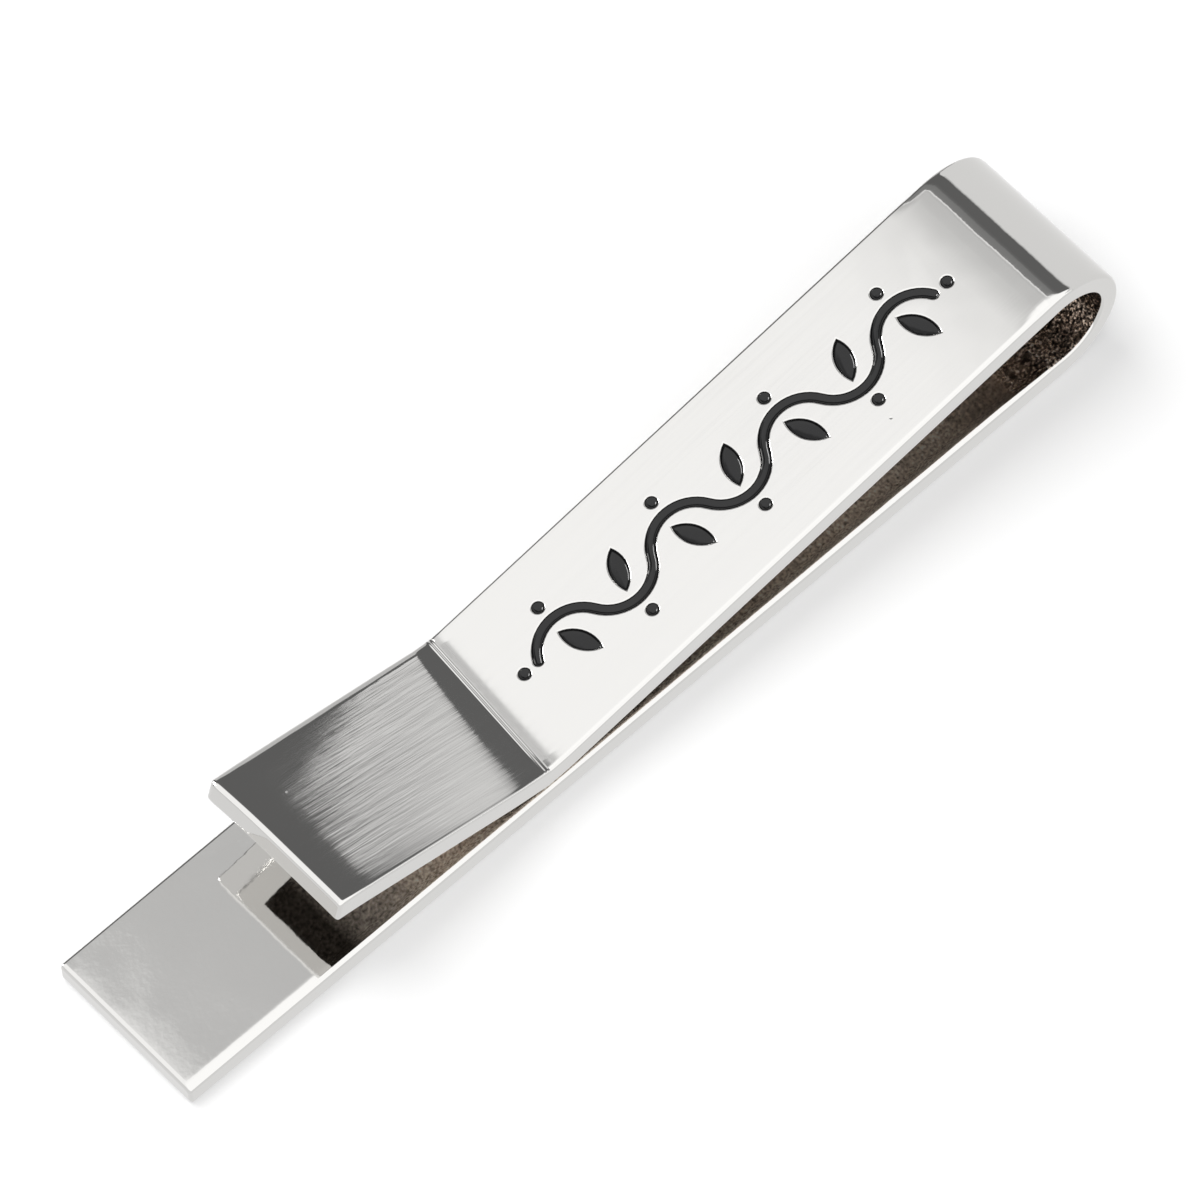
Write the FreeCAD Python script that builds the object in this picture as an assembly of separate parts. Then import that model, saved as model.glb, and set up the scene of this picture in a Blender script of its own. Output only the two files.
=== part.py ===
"""Slide-on tie clip: one plated strip folded into a hairpin, with black enamel in its face.

The long back leg lies flat, the strip turns back over itself in a round bow, and the front
leg slopes down until it pinches the back leg at a crease. Beyond the crease a short lip
flares up and leads the cloth in. A running vine of black enamel fills recesses in the front.

Millimetres, +Z up. The origin is under the middle of the clip, and +X points to the bow.
"""
import FreeCAD, Part
import math
import os

Vector = FreeCAD.Vector

# Strip
strip_width = 9.0
strip_thickness = 1.35
edge_round = 0.24
face_corner_round = 0.30

# Hairpin
overall_length = 59.0
bow_radius = 3.8
bow_crown_thickness = 1.05
bow_tail_length = 0.6
pinch_gap = 0.35
bow_to_crease = 36.2

# Lead-in lip, its angle in degrees above the back leg
lip_length = 13.6
lip_angle = 17.6

# Enamel vine in the face of the front leg, the lean of its leaves in degrees
recess_depth = 0.30
enamel_below_face = 0.05
vine_width = 0.50
vine_swing = 1.10
vine_from_crease = 3.2
vine_from_bow = 3.4
vine_waves = 7
leaf_length = 2.3
leaf_width = 0.95
leaf_lean = 24.0
leaf_into_hollow = 0.45
berry_diameter = 0.62
berry_from_vine = 0.32

# Two places closer than this are the same place
same_place = 1e-6

# Worked out from the sizes above
half_width = strip_width / 2
corner_round = face_corner_round + edge_round
bow_end_x = overall_length / 2
tip_x = -overall_length / 2
bow_centre = Vector(bow_end_x - bow_radius, 0, bow_radius)
crease = Vector(bow_end_x - bow_to_crease, 0, 2 * strip_thickness + pinch_gap)


def front_leg_slope():
    """Angle of the straight run from the crease that meets the outside of the bow as a tangent."""
    run = bow_centre.x - crease.x
    drop = crease.z - bow_centre.z
    return math.asin(bow_radius / math.hypot(run, drop)) - math.atan2(drop, run)


slope = front_leg_slope()
rise = math.radians(lip_angle)
up = Vector(0, 0, 1)
across = Vector(0, 1, 0)
along_front = Vector(math.cos(slope), 0, math.sin(slope))
above_front = Vector(-math.sin(slope), 0, math.cos(slope))
along_lip = Vector(-math.cos(rise), 0, math.sin(rise))
above_lip = Vector(math.sin(rise), 0, math.cos(rise))
above_fold = (above_front + above_lip).normalize()
along_fold = above_fold.cross(across)

back_seam = Vector(bow_centre.x - bow_tail_length, 0, 0)
front_tangent = bow_centre + above_front * bow_radius
front_seam = front_tangent - along_front * bow_tail_length
nose = crease + along_lip * lip_length

# Planes that end a piece, each a point and the direction square to it
back_seam_plane = (back_seam, Vector(1, 0, 0))
front_seam_plane = (front_seam, along_front)
fold_plane = (crease, along_fold)
tip_plane = (Vector(tip_x, 0, 0), Vector(1, 0, 0))
nose_plane = (nose, along_lip)


def line(start, end):
    return Part.LineSegment(start, end).toShape()


def arc(start, middle, end):
    return Part.Arc(start, middle, end).toShape()


def strip_from_profile(edges):
    """Solid of a closed side profile, as wide as the strip and centred on the XZ plane."""
    face = Part.Face(Part.Wire(edges))
    face.translate(across * -half_width)
    return face.extrude(across * strip_width)


def lies_in(edge, plane):
    point, square_to_it = plane
    return all(abs((vertex.Point - point).dot(square_to_it)) < same_place for vertex in edge.Vertexes)


def runs_along(edge, direction):
    if edge.Curve.TypeId != "Part::GeomLine":
        return False
    return edge.tangentAt(edge.FirstParameter).cross(direction).Length < same_place


def buff_edges(solid, cut_planes, through, free_end=None):
    """Round the edges along the strip and round its free end, but none where the next piece meets it.

    through is the direction across the strip's thickness, which sets the corners of a free end.
    """
    if free_end:
        corners = [e for e in solid.Edges if lies_in(e, free_end) and runs_along(e, through)]
        solid = solid.makeFillet(corner_round, corners)
    edges = []
    for edge in solid.Edges:
        if any(lies_in(edge, plane) for plane in cut_planes) or runs_along(edge, through):
            continue
        if runs_along(edge, across) and not (free_end and lies_in(edge, free_end)):
            continue
        edges.append(edge)
    return solid.makeFillet(edge_round, edges)


def make_back_plate():
    """The long leg that lies behind the tie, free at its tip."""
    tip = tip_plane[0]
    lift = up * strip_thickness
    solid = strip_from_profile([
        line(tip, back_seam),
        line(back_seam, back_seam + lift),
        line(back_seam + lift, tip + lift),
        line(tip + lift, tip),
    ])
    return buff_edges(solid, [back_seam_plane], up, tip_plane)


def make_spring_bow():
    """The round turn of the strip, thinnest at its crown, with a short straight tail on each side."""
    to_crown = Vector(math.cos(slope / 2), 0, math.sin(slope / 2))
    inner_shift = (strip_thickness - bow_crown_thickness) / (1 + math.sin(slope / 2))
    inner_centre = bow_centre + to_crown * inner_shift
    inner_radius = bow_radius - strip_thickness + inner_shift * math.sin(slope / 2)
    outer_low = bow_centre - up * bow_radius
    inner_low = inner_centre - up * inner_radius
    inner_high = inner_centre + above_front * inner_radius
    back_seam_inside = back_seam + up * strip_thickness
    front_seam_inside = front_seam - above_front * strip_thickness
    solid = strip_from_profile([
        line(back_seam, outer_low),
        arc(outer_low, bow_centre + to_crown * bow_radius, front_tangent),
        line(front_tangent, front_seam),
        line(front_seam, front_seam_inside),
        line(front_seam_inside, inner_high),
        arc(inner_high, inner_centre + to_crown * inner_radius, inner_low),
        line(inner_low, back_seam_inside),
        line(back_seam_inside, back_seam),
    ])
    return buff_edges(solid, [back_seam_plane, front_seam_plane], up)


def fold_profile(far_end, above):
    """Side profile of a leg from the crease to far_end: sharp in the crease, round on its underside."""
    under = above * -strip_thickness
    half_turn = (above_fold + above).normalize() * -strip_thickness
    under_fold = crease - above_fold * strip_thickness
    return [
        line(crease, far_end),
        line(far_end, far_end + under),
        line(far_end + under, crease + under),
        arc(crease + under, crease + half_turn, under_fold),
        line(under_fold, crease),
    ]


def make_front_plate(recesses):
    """The sloping front leg, with a recess for each fill of enamel."""
    solid = strip_from_profile(fold_profile(front_seam, above_front))
    return buff_edges(solid, [front_seam_plane, fold_plane], above_front).cut(recesses)


def make_lead_in_lip():
    """The flared end beyond the crease, free at its nose."""
    solid = strip_from_profile(fold_profile(nose, above_lip))
    return buff_edges(solid, [fold_plane], above_lip, nose_plane)


# The vine is drawn flat, with x from the crease towards the bow and y across the strip
vine_start = vine_from_crease
vine_end = (front_tangent - crease).Length - vine_from_bow
wave_length = (vine_end - vine_start) / vine_waves
vine_radius = (wave_length ** 2 / 4 + vine_swing ** 2) / (2 * vine_swing)


def wave_middles():
    """Middle of each half wave of the vine, and the side of the strip that it swings to."""
    return [(vine_start + (i + 0.5) * wave_length, 1 if i % 2 == 0 else -1) for i in range(vine_waves)]


def wave_arc(middle, side, offset):
    """One half wave of the vine's edge, offset from its middle line towards +y."""
    centre = Vector(middle, side * (vine_swing - vine_radius), 0)
    reach = (vine_radius + side * offset) / vine_radius
    start = centre + (Vector(middle - wave_length / 2, 0, 0) - centre) * reach
    end = centre + (Vector(middle + wave_length / 2, 0, 0) - centre) * reach
    return start, centre + Vector(0, side * vine_radius * reach, 0), end


def vine_face():
    """The winding stem: tangent arcs on both edges, and round ends."""
    half = vine_width / 2
    upper = [wave_arc(middle, side, half) for middle, side in wave_middles()]
    lower = [wave_arc(middle, side, -half) for middle, side in wave_middles()]
    edges = [arc(*points) for points in upper]
    edges.append(round_end(upper[-1][2], lower[-1][2], 1))
    edges += [arc(end, middle, start) for start, middle, end in reversed(lower)]
    edges.append(round_end(lower[0][0], upper[0][0], -1))
    return Part.Face(Part.Wire(edges))


def round_end(start, end, way):
    """Half circle from start to end that bulges along x, forwards for way 1 and backwards for -1."""
    middle = (start + end) * 0.5
    outward = (end - start).cross(Vector(0, 0, 1)).normalize()
    if outward.x * way < 0:
        outward = -outward
    return arc(start, middle + outward * (vine_width / 2), end)


def leaf_face(middle, side):
    """A pointed leaf of two arcs, growing out of the hollow of one wave."""
    lean = math.radians(leaf_lean)
    grow = Vector(math.sin(lean), -side * math.cos(lean), 0)
    beside = Vector(-grow.y, grow.x, 0) * (leaf_width / 2)
    base = Vector(middle, 0, 0) - grow * leaf_into_hollow
    tip = base + grow * leaf_length
    belly = (base + tip) * 0.5
    return Part.Face(Part.Wire([arc(base, belly + beside, tip), arc(tip, belly - beside, base)]))


def berry_face(x, y):
    circle = Part.Circle(Vector(x, y, 0), Vector(0, 0, 1), berry_diameter / 2)
    return Part.Face(Part.Wire([circle.toShape()]))


def berry_faces():
    """A berry over the crest of each wave, and one beyond each end of the vine."""
    clear_of_vine = vine_width / 2 + berry_from_vine + berry_diameter / 2
    faces = [berry_face(middle, side * (vine_swing + clear_of_vine)) for middle, side in wave_middles()]
    faces.append(berry_face(vine_start - clear_of_vine, 0))
    faces.append(berry_face(vine_end + clear_of_vine, 0))
    return faces


def sink(faces, top):
    """Solids from the floor of the recesses up to the level top, set into the front leg's face."""
    solids = []
    for face in faces:
        floor = face.translated(Vector(0, 0, -recess_depth))
        solids.append(floor.extrude(Vector(0, 0, top + recess_depth)))
    group = Part.Compound(solids)
    lean = FreeCAD.Rotation(across, -math.degrees(slope))
    group.Placement = FreeCAD.Placement(crease, lean)
    return group


ornament = {
    "enamel_vine": [vine_face()],
    "enamel_leaves": [leaf_face(middle, side) for middle, side in wave_middles()],
    "enamel_berries": berry_faces(),
}
all_faces = [face for faces in ornament.values() for face in faces]

parts = {
    "back_plate": make_back_plate(),
    "spring_bow": make_spring_bow(),
    "front_plate": make_front_plate(sink(all_faces, strip_thickness)),
    "lead_in_lip": make_lead_in_lip(),
}
for name, faces in ornament.items():
    parts[name] = sink(faces, -enamel_below_face)

os.makedirs("parts", exist_ok=True)
for name, shape in parts.items():
    shape.exportStep(f"parts/{name}.step")
    print(name, len(shape.Solids), "solids", round(shape.Volume, 3), "mm3, valid", shape.isValid())

mean_radius = bow_radius - bow_crown_thickness / 2
flex_centre = bow_centre + Vector(2 * mean_radius / math.pi, 0, 0)
print("front leg slopes", round(math.degrees(slope), 2), "degrees, the bow flexes about", flex_centre)
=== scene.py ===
# %% [markdown]
# # A slide-on tie clip
#
# A tie clip of this kind is one plated metal strip, folded like a hairpin. The long back leg lies
# behind the tie, a round bow is the spring, and the front leg slopes down to a crease that pinches
# the cloth. Past the crease a short lip flares up. The front has a satin face with black enamel in
# shallow recesses. Each step below makes one piece the way its metal was worked.

# %% Load the frame
import bmesh
import bpy
from math import asin, atan2, copysign, cos, degrees, hypot, pi, radians, sin, tan
from mathutils import Matrix, Vector


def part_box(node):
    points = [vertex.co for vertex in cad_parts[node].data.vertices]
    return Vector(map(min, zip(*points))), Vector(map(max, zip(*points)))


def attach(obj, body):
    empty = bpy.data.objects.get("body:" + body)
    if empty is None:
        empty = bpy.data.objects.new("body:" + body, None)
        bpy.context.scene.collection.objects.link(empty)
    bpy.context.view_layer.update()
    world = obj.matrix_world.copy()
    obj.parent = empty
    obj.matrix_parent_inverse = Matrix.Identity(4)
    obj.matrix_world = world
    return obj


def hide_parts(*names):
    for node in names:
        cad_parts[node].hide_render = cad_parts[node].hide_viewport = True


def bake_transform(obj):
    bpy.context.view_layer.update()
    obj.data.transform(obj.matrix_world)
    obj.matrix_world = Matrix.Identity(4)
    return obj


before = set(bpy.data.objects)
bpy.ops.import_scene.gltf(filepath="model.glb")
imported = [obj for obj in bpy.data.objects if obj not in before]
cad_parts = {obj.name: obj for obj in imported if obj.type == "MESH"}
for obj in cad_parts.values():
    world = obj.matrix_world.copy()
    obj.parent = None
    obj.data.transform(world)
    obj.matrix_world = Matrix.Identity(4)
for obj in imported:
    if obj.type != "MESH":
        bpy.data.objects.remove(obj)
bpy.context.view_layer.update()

# %% [markdown]
# ## Sizes
#
# Blender works in metres, and its modelling tools round off very small numbers. So every piece is
# modelled with one unit as one millimetre, and is scaled to metres when it is finished. Most sizes
# come from the frame: the boxes of its nodes give the strip, the place of the bow and the crease. A
# box doesn't tell the bow's radius and thickness or the lip's length and angle, so these four are
# written here as the solid part has them.

# %% Read the sizes from the frame
MM = 0.001


def box_mm(node):
    """Lowest and highest corner of a frame node, in millimetres."""
    low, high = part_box(node)
    return low / MM, high / MM


back_low, back_high = box_mm("back_plate")
bow_end_x = box_mm("spring_bow")[1].x
front_low = box_mm("front_plate")[0]
lip_high = box_mm("lead_in_lip")[1]

strip_width = back_high.y - back_low.y
half_width = strip_width / 2
strip_thickness = back_high.z
tip_x = back_low.x
back_seam_x = back_high.x
bow_radius = 3.8
bow_crown_thickness = 1.05
bow_centre = Vector((bow_end_x - bow_radius, 0, bow_radius))
crease = Vector((lip_high.x, 0, front_low.z + strip_thickness))
lip_length = 13.6
lip_angle = radians(17.6)

crease_run = bow_centre.x - crease.x
crease_drop = crease.z - bow_centre.z
front_slope = asin(bow_radius / hypot(crease_run, crease_drop)) - atan2(crease_drop, crease_run)
along_front = Vector((cos(front_slope), 0, sin(front_slope)))
above_front = Vector((-sin(front_slope), 0, cos(front_slope)))
bow_tail_length = bow_centre.x - back_seam_x
front_tangent = bow_centre + above_front * bow_radius
front_seam = front_tangent - along_front * bow_tail_length
front_length = (front_tangent - crease).length - bow_tail_length
nose_to_crease = Vector((cos(lip_angle), 0, -sin(lip_angle)))
above_lip = Vector((sin(lip_angle), 0, cos(lip_angle)))
fold_half = (front_slope + lip_angle) / 2
print(f"strip {strip_width:.2f} x {strip_thickness:.2f} mm, front leg {front_length:.2f} mm",
      f"at {degrees(front_slope):.2f} degrees, crease at {crease.x:.2f}, {crease.z:.2f}")

# %% [markdown]
# ## Camera
#
# The view comes first, because every later choice is judged through it. The clip was seen from above
# with a long lens, so the camera stands far off and its lens is long: parallel edges stay nearly
# parallel. Three angles turn it, and the lens follows from the width that the frame takes in.

# %% Camera
camera_azimuth = radians(-39.21)
camera_elevation = radians(62.0)
camera_roll = radians(4.0)
camera_target = Vector((1.22, 0.98, 2.0)) * MM
camera_distance = 566 * MM
frame_width = 56.05 * MM
nearest_seen = 10 * MM

level_right = Vector((cos(camera_azimuth), sin(camera_azimuth), 0))
level_up = Vector((
    -sin(camera_azimuth) * sin(camera_elevation),
    cos(camera_azimuth) * sin(camera_elevation),
    cos(camera_elevation),
))
camera_back = level_right.cross(level_up)
camera_right = level_right * cos(camera_roll) - level_up * sin(camera_roll)
camera_up = camera_back.cross(camera_right)

bpy.ops.object.select_all(action="DESELECT")
bpy.ops.object.camera_add()
camera = bpy.context.object
camera.name = "photo_camera"
turn = Matrix((camera_right, camera_up, camera_back)).transposed()
camera.matrix_world = Matrix.Translation(camera_target + camera_back * camera_distance) @ turn.to_4x4()
camera.data.lens = camera.data.sensor_width * camera_distance / frame_width
camera.data.clip_start = nearest_seen
bpy.context.scene.camera = camera
print(f"camera {camera_distance / MM:.0f} mm away, lens {camera.data.lens:.0f} mm")

# %% [markdown]
# ## Helpers for modelling by hand
#
# An operator acts on whatever is selected, so each step first says what that is. Two helpers do it:
# one makes a single object active, and one selects the edges or faces that pass a test. A direction
# counts as the same as another when their product is nearly 1.

# %% Selection helpers
nearly_same = 0.9
quite_same = 0.99


def activate(piece):
    """Select one object alone and make it the active one."""
    bpy.ops.object.select_all(action="DESELECT")
    piece.select_set(True)
    bpy.context.view_layer.objects.active = piece


def choose(piece, kind, test):
    """Select the edges or faces that pass a test, and count them. The piece is in edit mode."""
    bpy.ops.mesh.select_mode(type=kind)
    bpy.ops.mesh.select_all(action="DESELECT")
    mesh = bmesh.from_edit_mesh(piece.data)
    mesh.normal_update()
    elements = {"EDGE": mesh.edges, "FACE": mesh.faces}[kind]
    chosen = [element for element in elements if test(element)]
    for element in chosen:
        element.select_set(True)
    bmesh.update_edit_mesh(piece.data)
    return len(chosen)


def runs_lengthwise(edge):
    """Whether an edge lies along X."""
    direction = (edge.verts[1].co - edge.verts[0].co).normalized()
    return abs(direction.x) > nearly_same


def choose_end(strip, way):
    """Select the end face that looks along X, forwards for way 1 and backwards for way -1."""
    return choose(strip, "FACE", lambda face: face.normal.x * way > quite_same)


print("helpers: activate, choose, choose_end")

# %% [markdown]
# ## The strip
#
# All four metal pieces are lengths of one strip with softly buffed edges. Front leg and lip are
# modelled lying flat along X, with the upper face at height 0, and are then turned into place. A cube
# gets its long edges bevelled while it is still narrow, and is then stretched to the strip's width.
# That leaves a roll that is wider than it is deep, as a buffing wheel does, so a reflection fades
# towards the edge. On all but the lip, the near edge is rolled wider than the far edge.

# %% A length of strip
lengthwise = Vector((1, 0, 0))
crosswise = Vector((0, 1, 0))
edge_roll_depth = 0.20
edge_roll_width = 0.42
edge_roll_steps = 9
edge_roll_profile = 0.60
roll_near, roll_far = 0.28, 0.15
roll_margin = 0.01
crown_run = 0.7
crown_steps = 5


def add_strip(name, x_from, x_to, top=0.0):
    """A length of strip along X with its long edges rolled, left in edit mode."""
    bpy.ops.object.select_all(action="DESELECT")
    middle = ((x_from + x_to) / 2, 0, top - strip_thickness / 2)
    bpy.ops.mesh.primitive_cube_add(size=1, location=middle)
    strip = bpy.context.object
    strip.name = strip.data.name = name
    stretch = edge_roll_width / edge_roll_depth
    strip.scale = (x_to - x_from, strip_width / stretch, strip_thickness)
    bpy.ops.object.transform_apply(location=True, rotation=True, scale=True)
    bpy.ops.object.mode_set(mode="EDIT")
    choose(strip, "EDGE", runs_lengthwise)
    bpy.ops.mesh.bevel(offset=edge_roll_depth, segments=edge_roll_steps, profile=edge_roll_profile,
                       affect="EDGES", clamp_overlap=True)
    bpy.ops.mesh.select_all(action="SELECT")
    bpy.ops.transform.resize(value=(1, stretch, 1), center_override=(0, 0, 0))
    return strip


def score(axis, places):
    """Cut new edge loops through the strip in edit mode, one at each place along an axis."""
    for place in places:
        bpy.ops.mesh.select_all(action="SELECT")
        bpy.ops.mesh.bisect(plane_co=axis * place, plane_no=axis)


def score_crown():
    """Cut the loops along a strip that let its face fall softly towards the long edges."""
    inner = half_width - crown_run
    places = [inner + (crown_run - edge_roll_width) * step / crown_steps for step in range(crown_steps)]
    score(crosswise, places + [-place for place in places])


def across_strip(near, far, y):
    """A value that changes evenly from the near edge of the strip to the far edge."""
    return (near + far) / 2 + (far - near) * y / strip_width


def crown_fall(y, near, far):
    """How far the face falls towards a long edge, by what it falls at the near and far edges."""
    inside = max(0, abs(y) - half_width + crown_run) / crown_run
    return (far if y > 0 else near) * inside ** 3


def rolled_place(y, near, far):
    """Where a point across the strip goes when the rolls get their own widths."""
    wanted = far if y > 0 else near
    from_edge = half_width - abs(y)
    if from_edge < edge_roll_width + roll_margin:
        from_edge *= wanted / edge_roll_width
    elif from_edge < crown_run:
        squeeze = (crown_run - wanted) / (crown_run - edge_roll_width)
        from_edge = wanted + (from_edge - edge_roll_width) * squeeze
    return copysign(half_width - from_edge, y)


print(f"edge rolls {roll_near} mm wide on the near side, {roll_far} mm on the far side")

# %% [markdown]
# ## Free ends and shading
#
# The tip of the back leg and the nose of the lip are free ends, rounded on every edge. A bevel would
# clash with the rolls that are there already, so the end face is extruded in short steps that shrink
# along an arc. Smooth shading joins the facets of the rolls, and weighted normals keep the large flat
# faces flat beside them.

# %% Free ends and shading
end_roll_depth = 0.30
end_roll_steps = 8
smooth_metal_angle = radians(35)
flat_face_weight = 50


def roll_free_end(strip, way, length, top=0.0):
    """Round the edges and corners of a free end: extrude it in short steps that shrink along an arc."""
    choose_end(strip, way)
    width, thickness, reach = strip_width, strip_thickness, 0.0
    for step in range(1, end_roll_steps + 1):
        angle = pi / 2 * step / end_roll_steps
        inset = end_roll_depth * (1 - cos(angle))
        forward = length * sin(angle) - reach
        bpy.ops.mesh.extrude_region_move(TRANSFORM_OT_translate={"value": (way * forward, 0, 0)})
        shrink = (1, (strip_width - 2 * inset) / width, (strip_thickness - 2 * inset) / thickness)
        bpy.ops.transform.resize(value=shrink, center_override=(0, 0, top - strip_thickness / 2))
        width, thickness = strip_width - 2 * inset, strip_thickness - 2 * inset
        reach += forward


def scale_to_metres(piece):
    """Scale the active piece from millimetres to metres, and say how many faces it has."""
    piece.scale = (MM, MM, MM)
    bpy.ops.object.transform_apply(location=True, rotation=True, scale=True)
    print(piece.name, len(piece.data.polygons), "faces")


def finish_metal(piece, flat_faces=True):
    """Smooth the shading, keep flat faces flat where asked, and scale the piece to metres."""
    bpy.ops.object.mode_set(mode="OBJECT")
    activate(piece)
    bpy.ops.object.shade_smooth_by_angle(angle=smooth_metal_angle)
    if flat_faces:
        weighted = piece.modifiers.new("flat_faces_stay_flat", "WEIGHTED_NORMAL")
        weighted.keep_sharp = True
        weighted.weight = flat_face_weight
        bpy.ops.object.modifier_apply(modifier=weighted.name)
    scale_to_metres(piece)


print(f"free ends rounded by {end_roll_depth} mm in {end_roll_steps} steps")

# %% [markdown]
# ## Back leg
#
# The back leg lies flat, and its free tip is rounded so that it slides past the cloth. Its other end
# stops square at the seam, where the bow carries on with the same section. The wheel took a little
# more off the near edge and off the near side of the tip, so the face falls softly there: loops are
# scored first, and their points are lowered by a formula.

# %% Back leg
tip_roll_length = 0.18
tip_run, tip_fall = 0.7, 0.006
tip_rows = 6
tip_middle_share, tip_share_run = 0.4, 3.0
back_crown_near, back_crown_far = 0.10, 0.0
crown_fade = 3.0
crown_fade_rows = 6

back_plate = add_strip("back_leg", tip_x + tip_roll_length, back_seam_x, strip_thickness)
score_crown()
roll_free_end(back_plate, -1, tip_roll_length, top=strip_thickness)
tip_row = (tip_run - tip_roll_length) / tip_rows
score(lengthwise, [tip_x + tip_roll_length + tip_row * row for row in range(1, tip_rows + 1)])
fade_row = crown_fade / crown_fade_rows
score(lengthwise, [back_seam_x - fade_row * row for row in range(1, crown_fade_rows + 1)])
bpy.ops.object.mode_set(mode="OBJECT")
for vertex in back_plate.data.vertices:
    vertex.co.y = rolled_place(vertex.co.y, roll_near, roll_far)
    if vertex.co.z > strip_thickness / 2:
        from_bow = min(1, (back_seam_x - vertex.co.x) / crown_fade)
        to_tip = max(0, tip_x + tip_run - vertex.co.x) / tip_run
        near_share = min(1, max(0, tip_middle_share - vertex.co.y / tip_share_run))
        vertex.co.z -= crown_fall(vertex.co.y, back_crown_near, back_crown_far) * from_bow
        vertex.co.z -= tip_fall * near_share * to_tip ** 2
finish_metal(back_plate)

# %% [markdown]
# ## Spring bow
#
# The bow is the same strip bent over a round mandrel. Spin does exactly that: it carries the end face
# of a short straight tail round the centre of the bow. Bending stretches the outside, so the metal is
# thinnest at the crown, and the inner face is moved out a little there. The upper half of the outer
# face falls softly to both long edges, which hooks the reflections there. Bending also drew the last
# of the front leg down by a hundredth of a millimetre, so the top of the bow starts that much lower.

# %% Bend the bow
bow_steps = 56
bow_turn = pi + front_slope

bow = add_strip("spring_bow_strip", back_seam_x, bow_centre.x, strip_thickness)
score_crown()
choose_end(bow, 1)
bpy.ops.mesh.spin(steps=bow_steps, angle=bow_turn, center=bow_centre, axis=(0, 1, 0))
bpy.ops.mesh.extrude_region_move(TRANSFORM_OT_translate={"value": along_front * -bow_tail_length})
bpy.ops.mesh.select_all(action="SELECT")
bpy.ops.mesh.normals_make_consistent(inside=False)
bpy.ops.object.mode_set(mode="OBJECT")
print(bow.name, "bent by", round(degrees(bow_turn), 1), "degrees")

# %% Thin and settle the bow
settle_run = 1.5
settle_near, settle_far = 0.0085, 0.0050
front_crown_near, front_crown_far = 0.07, 0.04
crown_angle = front_slope / 2
end_cosine = cos(bow_turn / 2)
crown_thinning = strip_thickness - bow_crown_thickness

for vertex in bow.data.vertices:
    arm = Vector((vertex.co.x - bow_centre.x, 0, vertex.co.z - bow_centre.z))
    from_crown = atan2(arm.z, arm.x) - crown_angle
    thinning = max(0, (cos(from_crown) - end_cosine) / (1 - end_cosine))
    inward = (bow_radius - arm.length) / strip_thickness
    to_front = 1 - min(1, max(0, 0.5 - from_crown / bow_turn))
    vertex.co.y = rolled_place(vertex.co.y, roll_near, roll_far)
    in_front_tail = arm.z > 0 and (vertex.co - front_tangent).dot(along_front) < 0
    outward = above_front if in_front_tail else arm.normalized()
    vertex.co += arm.normalized() * inward * thinning * crown_thinning
    if inward < 0.5:
        vertex.co -= outward * crown_fall(vertex.co.y, front_crown_near, front_crown_far) * to_front
    along_tail = min(bow_tail_length, max(0, (vertex.co - front_seam).dot(along_front)))
    settled = across_strip(settle_near, settle_far, vertex.co.y) * (1 + 2 * along_tail / settle_run)
    vertex.co.z -= settled * to_front
finish_metal(bow)

# %% [markdown]
# ## The fold
#
# Front leg and lip both start at the crease. The end there is spun about the crease line by half the
# fold, so that the two meet in a mitre with a rounded underside. Close to the crease the front face
# rises in a faint hollow, left by the tool that pressed it, longer on the near side. The real crease
# lies a little nearer to the bow than the frame's and slightly out of square, so its points are slid
# along last of all.

# %% Tools for the fold
hollow_far, hollow_near = 0.65, 1.45
hollow_rise_far, hollow_rise_near = 0.0315, 0.112
fold_steps = 4
fold_merge = 0.002
fold_reach = 0.3
crease_shift = 0.18
crease_skew = 0.36
mitre_lean = tan(fold_half)


def hollow_lift(away, y):
    """How far the front face rises by its distance from the crease."""
    length = across_strip(hollow_near, hollow_far, y)
    return across_strip(hollow_rise_near, hollow_rise_far, y) * max(0, 1 - away / length) ** 2


def fold_end(strip, way):
    """Turn the end face at the crease about the crease line by half the fold."""
    choose_end(strip, -way)
    bpy.ops.mesh.spin(steps=fold_steps, angle=-fold_half * way, center=(0, 0, 0), axis=(0, 1, 0))
    bpy.ops.mesh.select_all(action="SELECT")
    bpy.ops.mesh.remove_doubles(threshold=fold_merge)
    bpy.ops.mesh.normals_make_consistent(inside=False)
    bpy.ops.object.mode_set(mode="OBJECT")


def place_leg(leg, turn):
    """Turn a leg that was modelled flat about the crease line, and set it there."""
    activate(leg)
    leg.rotation_euler = (0, turn, 0)
    leg.location = crease
    bpy.ops.object.transform_apply(location=True, rotation=True, scale=True)


def skew_crease(leg, reach):
    """Slide the points near the crease along the front leg: to the bow on the far side, else from it."""
    for vertex in leg.data.vertices:
        away = abs((vertex.co - crease).x)
        share = min(1, max(0, reach - away) / (reach - fold_reach))
        slide = crease_shift + crease_skew * vertex.co.y / half_width
        vertex.co += along_front * slide * share


print(f"fold of {degrees(2 * fold_half):.1f} degrees, hollow up to {hollow_rise_near} mm")

# %% [markdown]
# ## Front leg
#
# The front leg is a flat length of strip between the crease and the bow. Rows are scored where it
# rises into the hollow and where it settles towards the bow, and their points are moved by a formula.
# A lifted point also leans towards the bow, so that the end stays in the plane of the mitre.

# %% Front leg
hollow_row = 0.2
hollow_rows = 9
settle_rows = 6

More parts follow.
